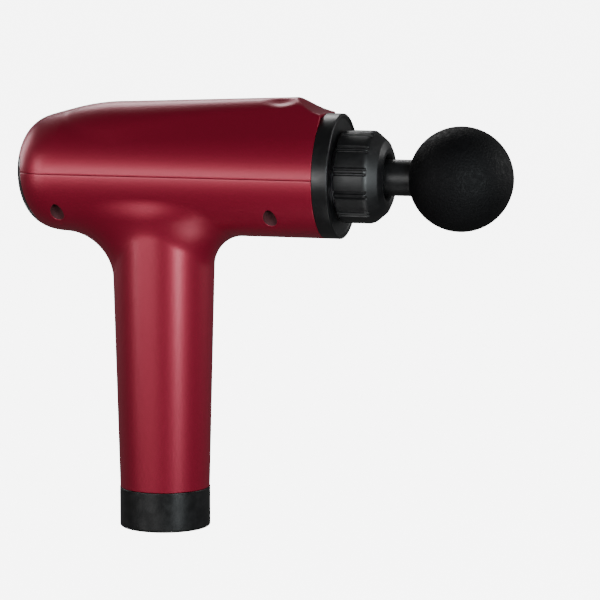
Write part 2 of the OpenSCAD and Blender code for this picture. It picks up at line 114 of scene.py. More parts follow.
# Touch panel's outline: an arc seen from the side, and a straight top
PANEL_TOP = panel_high[2] - AXIS
PANEL_EDGE = -65.6
PANEL_ARC_R = 67.0
PANEL_ARC_Z = 4.0
PANEL_FRONT = -48.0

# Screw wells under the barrel
WELL_X = (-46.5, 60.7)
WELL_Y = 22.8
WELL_R = 3.3
WELL_TOP = -9.0


# ---------- fields of the painted body ----------


def smooth_min(a, b, k):
    h = np.clip(0.5 + 0.5 * (b - a) / k, 0, 1)
    return b * (1 - h) + a * h - k * h * (1 - h)


def smooth_max(a, b, k):
    return -smooth_min(-a, -b, k)


def fillet_union(a, b, r):
    """Union of two solids with a round fillet of radius r between them."""
    u = np.maximum(r - a, 0)
    v = np.maximum(r - b, 0)
    return np.maximum(r, np.minimum(a, b)) - np.sqrt(u * u + v * v)


def crest_height(x):
    along = (x - CREST_REAR) / (CREST_FRONT - CREST_REAR)
    rise = CREST_LOW + (CREST_HIGH - CREST_LOW) * along
    arc = np.sqrt(np.maximum(CREST_FALL_R**2 - (CREST_REAR - x) ** 2, 1))
    drop = smooth_max(CREST_LOW - CREST_FALL_R + arc, np.full_like(x, CREST_TAIL), 2.0)
    return np.where(x >= CREST_REAR, rise, drop)


def barrel_field(x, y, z):
    """The barrel: a round section with a narrower round crest over it, and a domed rear end."""
    up = z - AXIS
    height = crest_height(x)
    squash = np.minimum(1, height / BARREL_R)
    up = np.where(up > 0, up / squash, up)
    along = np.clip((x - CREST_REAR) / (CREST_FRONT - CREST_REAR), 0, 1)
    crest_r = CREST_ROUND[0] + (CREST_ROUND[1] - CREST_ROUND[0]) * along
    rise = np.maximum(height, BARREL_R + 0.02) - crest_r
    lean = (BARREL_R - crest_r) / rise
    face = np.sqrt(1 - lean * lean)
    side = np.abs(y)
    turn = -lean * side + face * up
    section = np.where(
        turn < 0,
        np.sqrt(side**2 + up**2) - BARREL_R,
        np.where(
            turn > face * rise,
            np.sqrt(side**2 + (up - rise) ** 2) - crest_r,
            face * side + lean * up - BARREL_R,
        ),
    )
    depth = np.maximum(section + BARREL_R, 0)
    back = np.maximum(REAR_START - x, 0) * BARREL_R / REAR_LEN
    domed = (depth**DOME_POWER + back**DOME_POWER) ** (1 / DOME_POWER) - BARREL_R
    return np.where(back > 0, domed, section)


def handle_field(x, y, z):
    """The handle, let go of gently where it runs up inside the barrel."""
    inside_barrel = np.maximum(z - (AXIS - HANDLE_R), 0)
    return np.hypot(x, y) - (HANDLE_R + HANDLE_DRAFT * (z - FOOT)) + inside_barrel**2 / 20


def scoop_centre():
    """Centre of the cylinder that hollows the crest's front, down to the ring's top."""
    run = np.array([SHELL_FRONT - CREST_FRONT, BARREL_R - CREST_HIGH])
    half = np.hypot(*run) / 2
    reach = math.sqrt(SCOOP_R**2 - half**2)
    normal = np.array([-run[1], run[0]]) / (2 * half)
    return np.array([CREST_FRONT, CREST_HIGH]) + run / 2 + reach * normal


SCOOP = scoop_centre()


def body_field(x, y, z):
    end_fillet = (FILLET_REAR + FILLET_FRONT) / 2 - (FILLET_REAR - FILLET_FRONT) / 2 * np.tanh(x / 12)
    fillet = FILLET_SIDE + (end_fillet - FILLET_SIDE) * x**2 / (x**2 + y**2 + 1)
    solid = fillet_union(barrel_field(x, y, z), handle_field(x, y, z), fillet)
    scoop = SCOOP_R - np.hypot(x - SCOOP[0], z - AXIS - SCOOP[1])
    solid = smooth_max(solid, scoop, 0.7)
    thumb_x, thumb_y, thumb_z = THUMB
    thumb = 1 - np.sqrt(
        ((x - thumb_x) / 6.5) ** 2
        + ((np.abs(y) - thumb_y) / 5.0) ** 2
        + ((z - AXIS - thumb_z) / 3.2) ** 2
    )
    return smooth_max(solid, thumb * 3.0, 2.2)


def panel_field(x, _, z):
    """Positive behind the touch panel's edge."""
    behind = np.hypot(x - PANEL_EDGE - PANEL_ARC_R, z - AXIS - PANEL_ARC_Z) - PANEL_ARC_R
    below = AXIS + PANEL_TOP - z
    return np.minimum(smooth_min(behind, below, 2.5), PANEL_FRONT - x)


def gradient(field, p):
    step = 0.02
    out = np.empty_like(p)
    for i in range(3):
        a = p.copy()
        b = p.copy()
        a[:, i] += step
        b[:, i] -= step
        out[:, i] = (field(*a.T) - field(*b.T)) / (2 * step)
    return out


def unit(v):
    return v / np.maximum(np.linalg.norm(v, axis=1, keepdims=True), 1e-9)


def settle(field, p, rounds=5):
    """Moves points onto the field's zero surface."""
    for _ in range(rounds):
        g = gradient(field, p)
        p = p - g * (field(*p.T) / np.maximum((g * g).sum(1), 1e-6))[:, None]
    return p


def surface_net(field, low, high, cell):
    """Quads over the field's zero surface, one vertex in each mixed cell of a grid."""
    axes = [np.arange(a, b + cell, cell) for a, b in zip(low, high)]
    value = field(*np.meshgrid(*axes, indexing="ij"))
    inside = value < 0
    shape = [len(a) - 1 for a in axes]

    def corner(array, offset):
        return array[tuple(slice(o, o + n) for o, n in zip(offset, shape))]

    corners = [(i, j, k) for i in (0, 1) for j in (0, 1) for k in (0, 1)]
    count = sum(corner(inside, c).astype(np.int8) for c in corners)
    mixed = (count > 0) & (count < 8)
    index = np.full(shape, -1)
    index[mixed] = np.arange(mixed.sum())
    total = np.zeros((mixed.sum(), 3))
    hits = np.zeros(mixed.sum())
    for a in corners:
        for axis in range(3):
            if a[axis]:
                continue
            b = tuple(v + (n == axis) for n, v in enumerate(a))
            va = corner(value, a)[mixed]
            vb = corner(value, b)[mixed]
            cross = (va < 0) != (vb < 0)
            part = np.where(cross, va / np.where(cross, va - vb, 1), 0)
            point = np.array(a, float)[None, :].repeat(len(va), 0)
            point[:, axis] += part
            total += point * cross[:, None]
            hits += cross
    cells = np.argwhere(mixed)
    verts = np.array([a[0] for a in axes]) + (cells + total / hits[:, None]) * cell
    faces = []
    for axis in range(3):
        u, v = (axis + 1) % 3, (axis + 2) % 3
        first = [slice(1, n) for n in shape]
        first[axis] = slice(0, shape[axis])
        second = list(first)
        second[axis] = slice(1, shape[axis] + 1)
        a, b = inside[tuple(first)], inside[tuple(second)]
        for flip, edges in ((False, a & ~b), (True, ~a & b)):
            at = np.argwhere(edges)
            for n in range(3):
                if n != axis:
                    at[:, n] += 1
            quad = []
            for du, dv in ((1, 1), (0, 1), (0, 0), (1, 0)):
                c = at.copy()
                c[:, u] -= du
                c[:, v] -= dv
                quad.append(index[tuple(c.T)])
            quad = np.stack(quad if not flip else quad[::-1], 1)
            faces.append(quad[(quad >= 0).all(1)])
    return verts, np.concatenate(faces).tolist()


class Skin:
    """A smooth open surface that can be cut along other fields and given thickness and round lips."""

    def __init__(self, field, low, high, cell):
        self.field = field
        verts, self.faces = surface_net(field, low, high, cell)
        self.verts = settle(field, verts)
        self.cuts = []
        self.on = [frozenset()] * len(self.verts)

    def copy(self):
        other = object.__new__(Skin)
        other.field, other.verts, other.faces = self.field, self.verts.copy(), list(self.faces)
        other.cuts, other.on = list(self.cuts), list(self.on)
        return other

    def cut(self, field, lip=LIP, down=None, thick=True):
        """Keeps what lies where field is under -lip. down is a depth to sink a well to, straight up."""
        number = len(self.cuts)
        self.cuts.append({"field": field, "lip": lip, "down": down, "thick": thick})
        value = field(*self.verts.T) + lip
        keep = value < 0
        verts, made, faces = [], {}, []
        start = len(self.verts)

        def crossing(a, b):
            key = (min(a, b), max(a, b))
            if key not in made:
                part = value[a] / (value[a] - value[b])
                verts.append(self.verts[a] + part * (self.verts[b] - self.verts[a]))
                self.on.append((self.on[a] & self.on[b]) | {number})
                made[key] = start + len(verts) - 1
            return made[key]

        for face in self.faces:
            inside = [keep[v] for v in face]
            if all(inside):
                faces.append(face)
            elif any(inside):
                loop = []
                for n, a in enumerate(face):
                    b = face[(n + 1) % len(face)]
                    if keep[a]:
                        loop.append(a)
                    if keep[a] != keep[b]:
                        loop.append(crossing(a, b))
                faces.append(loop)
        if verts:
            self.verts = np.vstack([self.verts, np.array(verts)])
        used = sorted({v for f in faces for v in f})
        place = {v: n for n, v in enumerate(used)}
        self.verts = self.verts[used]
        self.on = [self.on[v] for v in used]
        self.faces = [[place[v] for v in f] for f in faces]

    def solid(self, thickness):
        """Vertices and faces of the skin with its lips, its wells and an inner skin. The wells come last."""
        normal = unit(gradient(self.field, self.verts))
        edges = {}
        for face in self.faces:
            for n, a in enumerate(face):
                edges[(a, face[(n + 1) % len(face)])] = True
        rim = [e for e in edges if (e[1], e[0]) not in edges]
        verts = [self.verts, self.verts - normal * thickness]
        count = len(self.verts)
        faces = list(self.faces)
        total = 2 * count
        covered = list(self.faces)
        walls = []
        for number, cut in enumerate(self.cuts):
            mine = [e for e in rim if number in self.on[e[0]] and number in self.on[e[1]]]
            if not mine:
                continue
            points = sorted({v for e in mine for v in e})
            place = {v: n for n, v in enumerate(points)}
            p, n = self.verts[points], normal[points]
            out = gradient(cut["field"], p)
            out = unit(out - (out * n).sum(1)[:, None] * n)
            rings = [list(points)]
            lip = cut["lip"]
            offsets = []
            for angle in (30, 60, 90):
                s, c = math.sin(math.radians(angle)), math.cos(math.radians(angle))
                offsets.append(p + out * lip * s - n * lip * (1 - c))
            if cut["down"] is None:
                offsets.append(p + out * lip - n * thickness)
            else:
                low = offsets[-1].copy()
                for part in (0.5, 1.0):
                    ring = low.copy()
                    ring[:, 2] += (cut["down"] - low[:, 2]) * part
                    offsets.append(ring)
            for ring in offsets:
                rings.append(list(range(total, total + len(points))))
                verts.append(ring)
                total += len(points)
            if cut["down"] is None:
                rings.append([v + count for v in points])
            for row, (a, b) in enumerate(zip(rings[:-1], rings[1:])):
                deep = cut["down"] is not None and row > 2
                for v, w in mine:
                    i, j = place[v], place[w]
                    (walls if deep else faces).append([a[j], a[i], b[i], b[j]])
            if cut["down"] is not None:
                verts.append(offsets[-1].mean(0)[None, :])
                last = rings[-1]
                walls += [[last[place[w]], last[place[v]], total] for v, w in mine]
                total += 1
        faces += [[v + count for v in reversed(f)] for f in covered]
        self.wall_faces = len(walls)
        return np.vstack(verts), faces + walls


# ---------- mesh making ----------


def make(name, verts, faces, material, body, slot, replaces=(), sharp=40):
    """A mesh object from millimetres, smooth but for edges sharper than an angle."""
    mesh = bpy.data.meshes.new(name)
    mesh.from_pydata([tuple(v) for v in np.asarray(verts, float) * MM], [], [list(f) for f in faces])
    mesh.validate()
    mesh.shade_smooth()
    if sharp:
        mesh.set_sharp_from_angle(angle=math.radians(sharp))
    mesh.materials.append(material)
    obj = bpy.data.objects.new(name, mesh)
    bpy.context.scene.collection.objects.link(obj)
    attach(obj, body)
    if replaces:
        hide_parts(*replaces)
    return obj


def rounded(points, steps=4):
    """A polyline of (along, radius, corner radius) with its corners turned into arcs."""
    out = []
    for n, (a, r, corner) in enumerate(points):
        here = np.array([a, r], float)
        if not corner or n in (0, len(points) - 1):
            out.append(here)
            continue
        before = np.array(points[n - 1][:2], float) - here
        after = np.array(points[n + 1][:2], float) - here
        reach = min(corner, np.hypot(*before) / 2, np.hypot(*after) / 2)
        start = here + before / np.hypot(*before) * reach
        end = here + after / np.hypot(*after) * reach
        for k in range(steps + 1):
            t = k / steps
            out.append((1 - t) ** 2 * start + 2 * t * (1 - t) * here + t * t * end)
    return out


def lathe(profile, along_x, turns=144, closed=False, relief=None):
    """Turns a profile about the barrel's axis or the handle's. relief(a, angle, r) changes a radius."""
    verts, faces = [], []
    for a, r in profile:
        for n in range(turns):
            angle = 2 * math.pi * n / turns
            radius = r if relief is None else relief(a, angle, r)
            y, z = radius * math.cos(angle), radius * math.sin(angle)
            verts.append((a, y, AXIS + z) if along_x else (y, z, a))
    rows = len(profile)
    for i in range(rows if closed else rows - 1):
        for n in range(turns):
            a, b = i * turns + n, i * turns + (n + 1) % turns
            c, d = ((i + 1) % rows) * turns + n, ((i + 1) % rows) * turns + (n + 1) % turns
            faces.append([a, b, d, c])
    if not closed:
        faces.append(list(range(turns))[::-1])
        faces.append([(rows - 1) * turns + n for n in range(turns)])
    return verts, faces


# ---------- materials ----------


def colour(r, g, b):
    """Linear colour from 8-bit display values."""
    linear = [v / 255 / 12.92 if v <= 10 else ((v / 255 + 0.055) / 1.055) ** 2.4 for v in (r, g, b)]
    return (*linear, 1)


class Paint:
    """A Principled material with short helpers for its texture nodes."""

    def __init__(self, name, base, rough, metallic=0.0, **inputs):
        self.material = bpy.data.materials.new(name)
        self.material.use_nodes = True
        self.tree = self.material.node_tree
        self.shader = next(n for n in self.tree.nodes if n.type == "BSDF_PRINCIPLED")
        self.set("Base Color", base)
        self.set("Roughness", rough)
        self.set("Metallic", metallic)
        for key, value in inputs.items():
            self.set(key.replace("_", " "), value)
        self.place = self.node("ShaderNodeTexCoord").outputs["Object"]
        self.bump_from = None

    def set(self, socket, value):
        self.shader.inputs[socket].default_value = value

    def node(self, kind, **settings):
        made = self.tree.nodes.new(kind)
        for key, value in settings.items():
            setattr(made, key, value)
        return made

    def link(self, a, b):
        self.tree.links.new(a, b)

    def stretched(self, x, y, z):
        mapping = self.node("ShaderNodeMapping")
        mapping.inputs["Scale"].default_value = (x, y, z)
        self.link(self.place, mapping.inputs["Vector"])
        return mapping.outputs["Vector"]

    def noise(self, size_mm, detail=3.0, vector=None):
        made = self.node("ShaderNodeTexNoise")
        made.inputs["Scale"].default_value = 1 / (size_mm * MM)
        made.inputs["Detail"].default_value = detail
        self.link(vector or self.place, made.inputs["Vector"])
        return made.outputs["Fac"]

    def cells(self, size_mm, feature="F1", vector=None):
        made = self.node("ShaderNodeTexVoronoi", feature=feature)
        made.inputs["Scale"].default_value = 1 / (size_mm * MM)
        self.link(vector or self.place, made.inputs["Vector"])
        return made

    def ramp(self, fac, low, high, a=0.35, b=0.65):
        made = self.node("ShaderNodeMapRange")
        made.inputs["From Min"].default_value = a
        made.inputs["From Max"].default_value = b
        made.inputs["To Min"].default_value = low
        made.inputs["To Max"].default_value = high
        self.link(fac, made.inputs["Value"])
        return made.outputs["Result"]

    def tint(self, fac, first, second):
        made = self.node("ShaderNodeMix", data_type="RGBA")
        self.link(fac, made.inputs["Factor"])
        made.inputs["A"].default_value = first
        made.inputs["B"].default_value = second
        self.link(made.outputs["Result"], self.shader.inputs["Base Color"])

    def rough(self, fac, low, high):
        self.link(self.ramp(fac, low, high), self.shader.inputs["Roughness"])

    def bump(self, height, depth_mm, strength=0.5):
        made = self.node("ShaderNodeBump")
        made.inputs["Distance"].default_value = depth_mm * MM
        made.inputs["Strength"].default_value = strength
        self.link(height, made.inputs["Height"])
        if self.bump_from is not None:
            self.link(self.bump_from, made.inputs["Normal"])
        self.bump_from = made.outputs["Normal"]
        self.link(self.bump_from, self.shader.inputs["Normal"])


COAT_TINT = (1.0, 0.86, 0.94, 1)


def red_paint():
    """Satin pearl red: metal flakes under a soft clear coat."""
    p = Paint("red_paint", colour(150, 3, 38), 0.42, 0.6,
              Coat_Weight=0.45, Coat_Roughness=0.32, Coat_Tint=COAT_TINT)
    flakes = p.cells(0.16)
    sparkle = p.ramp(flakes.outputs["Distance"], 1.0, 0.0, 0.1, 0.5)
    p.tint(sparkle, colour(132, 2, 36), colour(160, 8, 58))
    p.rough(p.noise(0.9, 2.0), 0.40, 0.46)
    p.bump(flakes.outputs["Distance"], 0.01, 0.15)
    p.bump(p.noise(3.5, 1.0), 0.01, 0.10)
    return p.material


def black_plastic(name, level, rough, grain_mm=0.45, depth=0.02):
    """Moulded black plastic with a fine spark-eroded grain."""
    p = Paint(name, colour(level, level, level + 1), rough)
    grain = p.noise(grain_mm, 4.0)
    p.tint(p.ramp(grain, 0, 1), colour(level - 2, level - 2, level - 1),
           colour(level + 3, level + 3, level + 4))
    p.rough(p.noise(4.0, 3.0), rough - 0.05, rough + 0.05)
    p.bump(grain, depth, 0.5)
    return p.material


def foam_skin():
    """Matte black foam with a pebbled skin."""
    p = Paint("foam_skin", colour(4, 4, 5), 0.60, Specular_IOR_Level=0.12)
    pebbles = p.cells(0.9, "SMOOTH_F1")
    pores = p.noise(0.5, 4.0)
    p.tint(p.ramp(pores, 0, 1), colour(2, 2, 3), colour(8, 8, 9))
    p.rough(p.noise(2.5, 3.0), 0.56, 0.74)
    p.bump(pebbles.outputs["Distance"], 0.3, 0.8)
    p.bump(pores, 0.12, 0.6)
    return p.material


def touch_glass():
    """Smoked touch glass with faint wiping marks."""
    p = Paint("touch_glass", colour(10, 10, 11), 0.10, Coat_Weight=1.0, Coat_Roughness=0.03)
    smears = p.noise(9.0, 4.0, p.stretched(1, 1, 0.35))
    p.rough(smears, 0.07, 0.17)
    p.tint(p.ramp(smears, 0, 1), colour(8, 8, 9), colour(14, 14, 16))
    return p.material


def metal(name, shade, rough, grain=(1, 1, 12), metallic=1.0):
    """Machined metal with fine drawn lines."""
    p = Paint(name, shade, rough, metallic)
    lines = p.noise(0.5, 3.0, p.stretched(*grain))
    dark = tuple(v * 0.8 for v in shade[:3]) + (1,)
    p.tint(p.ramp(lines, 0, 1), dark, shade)
    p.rough(lines, rough - 0.06, rough + 0.08)
    p.bump(lines, 0.01, 0.3)
    return p.material


def soft(name, shade, rough, grain_mm=0.6):
    """Rubber, moulded nylon, film or resin: an even colour with a fine grain."""
    p = Paint(name, shade, rough)
    grain = p.noise(grain_mm, 4.0)
    light = tuple(min(1, v * 1.25 + 0.003) for v in shade[:3]) + (1,)
    p.tint(p.ramp(grain, 0, 1), shade, light)
    p.rough(p.noise(3.0, 3.0), rough - 0.06, rough + 0.06)
    p.bump(grain, 0.02, 0.3)
    return p.material


def circuit():
    """Green solder mask with copper tracks showing through."""
    p = Paint("circuit", colour(12, 70, 36), 0.32)
    tracks = p.cells(2.2, "DISTANCE_TO_EDGE", p.stretched(0.4, 1, 1))
    p.tint(p.ramp(tracks.outputs["Distance"], 1, 0, 0.06, 0.10), colour(10, 58, 30), colour(24, 104, 54))
    p.rough(p.noise(2.0), 0.28, 0.38)
    p.bump(tracks.outputs["Distance"], 0.03, 0.3)
    return p.material


def glow(name, shade, strength):
    """Backlit print behind the glass."""
    p = Paint(name, shade, 0.4, Emission_Color=shade, Emission_Strength=strength)
    p.tint(p.ramp(p.noise(0.6), 0, 1), tuple(v * 0.85 for v in shade[:3]) + (1,), shade)
    return p.material


RED = red_paint()
RING = black_plastic("ring_plastic", 8, 0.36, 0.5, 0.012)
COLLAR = black_plastic("collar_plastic", 7, 0.46)
STEM = black_plastic("stem_plastic", 11, 0.42)
BASE = black_plastic("base_plastic", 10, 0.36)
TUBE = black_plastic("tube_plastic", 24, 0.55, 0.8, 0.03)
GLOSS = black_plastic("gloss_plastic", 10, 0.2, 0.5, 0.006)
FOAM = foam_skin()
GLASS = touch_glass()
# Darker matte red for the deep walls of the screw wells: painted shade for the shadow inside them.
WELL_SHADE = soft("well_painted_shade", colour(54, 4, 12), 0.85)
ICON = glow("icon_print", colour(214, 226, 232), 0.9)
LENS = soft("light_lens", colour(226, 232, 226), 0.2)

SLOT_LOOKS = {
    "painted_shell": RED,
    "black_satin": BASE,
    "black_gloss": GLOSS,
    "black_matte": TUBE,
    "foam": FOAM,
    "rubber_black": soft("seal_rubber", colour(24, 24, 25), 0.62),
    "alloy": metal("cast_alloy", colour(196, 198, 202), 0.36, (1, 8, 8)),
    "steel": metal("ground_steel", colour(176, 177, 182), 0.28),
    "zinc_screw": metal("screw_steel", colour(150, 151, 156), 0.30),
    "magnet": metal("magnet_nickel", colour(120, 120, 126), 0.4),
    "lamination": metal("stator_steel", colour(96, 98, 106), 0.5, (1, 1, 30)),
    "copper": metal("copper_wire", colour(196, 112, 64), 0.34, (1, 1, 40)),
    "contact_metal": metal("contact_gold", colour(222, 184, 104), 0.25),
    "bearing_plastic": soft("bearing_nylon", colour(222, 218, 202), 0.45),
    "circuit_board": circuit(),
    "wire_insulation": soft("wire_silicone", colour(170, 34, 20), 0.5),
    "cell_wrap": soft("cell_film", colour(40, 110, 160), 0.3, 1.5),
    "capacitor_can": soft("capacitor_sleeve", colour(34, 38, 92), 0.32),
    "clear_light": LENS,
}


def dress_cad():
    """Gives every CAD node the look of its material slot."""
    for part in frame["record"]["subparts"]:
        obj = frame["nodes"][part["node"]]
        obj.data.materials.clear()
        obj.data.materials.append(SLOT_LOOKS[part["material_slot"]])


# ---------- visible pieces ----------


def painted_body():
    """Upper and lower shells and the touch panel, cut from one skin."""
    low = (REAR_TIP - 2, -BARREL_R - 3, FOOT - 3)
    high = (SHELL_FRONT + 3, BARREL_R + 3, AXIS + CREST_HIGH + 3)
    whole = Skin(body_field, low, high, 1.0)
    whole.cut(lambda x, y, z: x - SHELL_FRONT + GAP / 2)

    shells = whole.copy()
    shells.cut(lambda x, y, z: panel_field(x, y, z) + GAP / 2)

    upper = shells.copy()
    upper.cut(lambda x, y, z: AXIS + GAP / 2 - z)
    make("upper_shell_skin", *upper.solid(SHELL_T), RED, "housing", "painted_shell", ["upper_shell"], 50)

    lower = shells.copy()
    lower.cut(lambda x, y, z: z - AXIS + GAP / 2)
    lower.cut(lambda x, y, z: FOOT + GAP / 2 - z)
    for wx in WELL_X:
        for wy in (-WELL_Y, WELL_Y):
            lower.cut(well_cut(wx, wy), down=AXIS + WELL_TOP)
    shell = make("lower_shell_skin", *lower.solid(SHELL_T), RED,
                 "housing", "painted_shell", ["lower_shell"], 50)
    # The deep well walls take the painted shade material.
    shell.data.materials.append(WELL_SHADE)
    for polygon in shell.data.polygons[-lower.wall_faces:]:
        polygon.material_index = 1

    panel = whole.copy()
    panel.cut(lambda x, y, z: GAP / 2 - panel_field(x, y, z))
    make("touch_panel_glass", *panel.solid(SHELL_T), GLASS, "housing", "black_gloss", ["display_panel"], 50)


def well_cut(wx, wy):
    return lambda x, y, z: np.where(z < AXIS + WELL_TOP, WELL_R - np.hypot(x - wx, y - wy), -9.0)


def on_panel(points, lift):
    """Flat points (y, z) carried along X onto the panel's surface, and lifted off it."""
    p = np.array([(REAR_TIP, y, AXIS + z) for y, z in points], float)
    for _ in range(12):
        slope = gradient(body_field, p)[:, 0]
        p[:, 0] -= body_field(*p.T) / np.where(np.abs(slope) < 0.2, -0.2, slope)
    return p + unit(gradient(body_field, p)) * lift


def print_bar(centre, length, width, turn, rings, sweep):
    """One printed mark: a bar, or an arc of a ring when rings is its radius."""
    rows = 48 if rings else 6
    verts = []
    for n in range(rows + 1):
        t = n / rows
        for side in (-0.5, 0.5):
            if rings:
                angle = math.radians(turn + sweep * t)
                r = rings + side * width
                verts.append((centre[0] + r * math.sin(angle), centre[1] + r * math.cos(angle)))
            else:
                a = math.radians(turn)
                u, v = (t - 0.5) * length, side * width
                across = u * math.cos(a) - v * math.sin(a)
                upward = u * math.sin(a) + v * math.cos(a)
                verts.append((centre[0] + across, centre[1] + upward))
    outer, inner = on_panel(verts, 0.03), on_panel(verts, -0.05)
    count = len(verts)
    faces = []
    for n in range(rows):
        a = 2 * n
        faces.append([a, a + 1, a + 3, a + 2])
        faces.append([count + a + 2, count + a + 3, count + a + 1, count + a])
        faces.append([a, a + 2, count + a + 2, count + a])
        faces.append([a + 3, a + 1, count + a + 1, count + a + 3])
    last = 2 * rows
    faces.append([1, 0, count, count + 1])
    faces.append([last, last + 1, count + last + 1, count + last])
    return np.vstack([outer, inner]), faces


def panel_marks():
    """Generic touch marks: power, more, less, and a row of level bars."""
    marks = {
        "mark_power_ring": [((0, -13), 0, 0.55, 35, 3.0, 290)],
        "mark_power_bar": [((0, -10.6), 3.2, 0.55, 90, 0, 0)],
        "mark_less": [((9, -2), 4.0, 0.6, 0, 0, 0)],
        "mark_more": [((-9, -2), 4.0, 0.6, 0, 0, 0), ((-9, -2), 4.0, 0.6, 90, 0, 0)],
        "mark_dial": [((0, -2), 0, 0.5, -140, 5.6, 280)],
        "mark_levels": [((0, -3.6 + 1.5 * n), 1.8 + 0.7 * n, 0.7, 0, 0, 0) for n in range(3)],
    }
    for name, bars in marks.items():
        verts, faces = [], []
        for centre, length, width, turn, ring, sweep in bars:
            v, f = print_bar(centre, length, width, turn, ring, sweep)
            start = sum(len(x) for x in verts)
            verts.append(v)
            faces += [[i + start for i in face] for face in f]
        make(name, np.vstack(verts), faces, ICON, "housing", "clear_light")


def ring():
    """Front ring with a fine chamfer and a dished face."""
    front, back = ring_high[0], SHELL_FRONT + 0.08
    inner = 15.8
    points = [
        (back - 3.5, inner, 0), (back - 3.5, BARREL_R - 2.5, 0), (back, BARREL_R - 2.5, 0),
        (back, BARREL_R, 0.3), (front - 0.45, BARREL_R, 0.15), (front, BARREL_R - 0.5, 0.12),
        (front, BARREL_R - 1.3, 0.2), (front - 0.9, BARREL_R - 2.1, 0.5), (front - 0.9, 20.5, 0.3),
        (front - 2.2, 20.0, 0.3), (front - 2.2, inner, 0),
    ]
    verts, faces = lathe(rounded(points), True, 192, closed=True)
    make("front_ring_band", verts, faces, RING, "housing", "black_satin", ["front_ring"], 30)


RIBS = 12
RIB_LEAN = math.radians(-11)
RIB_END = collar_low[0] + 16.0


def rib_relief(a, angle, r):
    """Raised grip ribs with a groove along each side, run out at their front end."""
    if r < 20.9:
        return r
    pitch = 2 * math.pi / RIBS
    off = abs((angle - RIB_LEAN + pitch / 2) % pitch - pitch / 2) * r
    fade = min(1.0, max(0.0, (RIB_END - a) / 0.9))
    fade = fade * fade * (3 - 2 * fade)
    rib = 0.28 * max(0.0, min(1.0, (0.66 - off) / 0.22))
    groove = -0.95 * max(0.0, min(1.0, (2.0 - off) / 0.35)) * max(0.0, min(1.0, (off - 0.6) / 0.2))
    return r + (rib + groove) * fade


def collar():
    """Ribbed nose collar with a round shoulder and a bevelled mouth."""
    back, front = collar_low[0] + 0.05, collar_high[0]
    body_r, bore_r, mouth_r = 22.0, 15.9, 10.5
    outline = rounded([
        (back, 20.3, 0), (back, body_r, 0.5), (front - 7.0, body_r, 1.6), (front - 1.7, 17.6, 0.35),
        (front - 0.05, 14.3, 0.5), (front - 0.5, 11.5, 0.5), (front - 2.3, mouth_r, 0.8),
        (front - 11.0, mouth_r, 0), (front - 11.0, bore_r, 0), (back, bore_r, 0),
    ], 6)
    profile = []
    for a, b in zip(outline, outline[1:] + outline[:1]):
        profile.append(a)
        steps = int(abs(b[0] - a[0]) / 0.45) if min(a[1], b[1]) > 21.8 else 0
        profile += [a + (b - a) * (k + 1) / (steps + 1) for k in range(steps)]
    verts, faces = lathe(profile, True, 720, closed=True, relief=rib_relief)
    make("ribbed_collar", verts, faces, COLLAR, "housing", "black_satin", ["nose_collar"], 38)


def stem():
    """Head stem: an insert with two seal grooves and a plain shank up to the ball."""
    low, high = stem_low[0], stem_high[0]
    shoulder = span("piston_tube")[1][0] + 0.15
    insert_r, groove_r, shank_r = 7.2, 5.3, 8.7
    seal_grooves = (89.0, 98.0)
    points = [
        (low + 12, 0.4, 0), (low + 12, 4.4, 0.3), (low + 0.2, 4.5, 0.3), (low, 6.2, 0.3),
        (low + 1, insert_r, 0.3),
    ]
    for x in seal_grooves:
        points += [
            (x - 1.15, insert_r, 0.15), (x - 1.1, groove_r, 0.3),
            (x + 1.1, groove_r, 0.3), (x + 1.15, insert_r, 0.15),
        ]
    points += [
        (shoulder, insert_r, 0), (shoulder, shank_r, 0.35), (ball_low[0] + 0.2, shank_r, 0),
        (high, shank_r, 0), (high, 0.4, 0),
    ]
    verts, faces = lathe(rounded(points), True, 128)
    make("head_stem_shank", verts, faces, STEM, "head", "black_matte", ["head_stem"], 30)


def ball():
    """Foam ball with a low pebbled surface and a neat mouth round the stem."""
    radius = (ball_high[2] - ball_low[2]) / 2
    middle = ball_high[0] - radius
    mouth = math.asin(8.9 / radius)
    profile = [(middle - radius * math.cos(mouth) + 5, 8.72), (middle - radius * math.cos(mouth) + 0.5, 8.75)]
    rows = 150
    for n in range(rows):
        t = mouth + 0.02 + (math.pi - mouth - 0.03) * n / (rows - 1)
        profile.append((middle - radius * math.cos(t), radius * math.sin(t)))
    verts, faces = lathe(profile, True, 256)
    make("foam_ball", verts, faces, FOAM, "head", "foam", ["head_ball"], 60)


def base():
    """Battery base: a cap with a soft lower edge, open for the socket, the rocker and the light."""
    low, high = base_low[2], base_high[2]
    jack_x = (jack_low[0] + jack_high[0]) / 2
    rocker_x = (rocker_low[0] + rocker_high[0]) / 2
    light_y = (light_low[1] + light_high[1]) / 2
    corner = 0.9

    def cap(x, y, z):
        a = np.hypot(x, y) - BASE_R + corner
        b = low + corner - z
        return np.minimum(np.maximum(a, b), 0) + np.hypot(np.maximum(a, 0), np.maximum(b, 0)) - corner

    def round_hole(x0, y0, r):
        return lambda x, y, z: np.where(z < low + 3, r - np.hypot(x - x0, y - y0), -9.0)

    def slot(x, y, z):
        half = (rocker_high - rocker_low)[:2] / 2 + 0.05 - 0.8
        a, b = np.abs(x - rocker_x) - half[0], np.abs(y) - half[1]
        box = np.minimum(np.maximum(a, b), 0) + np.hypot(np.maximum(a, 0), np.maximum(b, 0)) - 0.8
        return np.where(z < low + 3, -box, -9.0)

    skin = Skin(cap, (-BASE_R - 2, -BASE_R - 2, low - 2), (BASE_R + 2, BASE_R + 2, high + 2), 0.55)
    skin.cut(lambda x, y, z: z - high)
    skin.cut(round_hole(jack_x, 0, (jack_high - jack_low)[0] / 2 + 0.05))
    skin.cut(round_hole(0, light_y, (light_high - light_low)[0] / 2 + 0.05), lip=0.15)
    skin.cut(slot)
    make("battery_base_cap", *skin.solid(2.3), BASE, "battery_pack", "black_satin", ["battery_base"], 50)


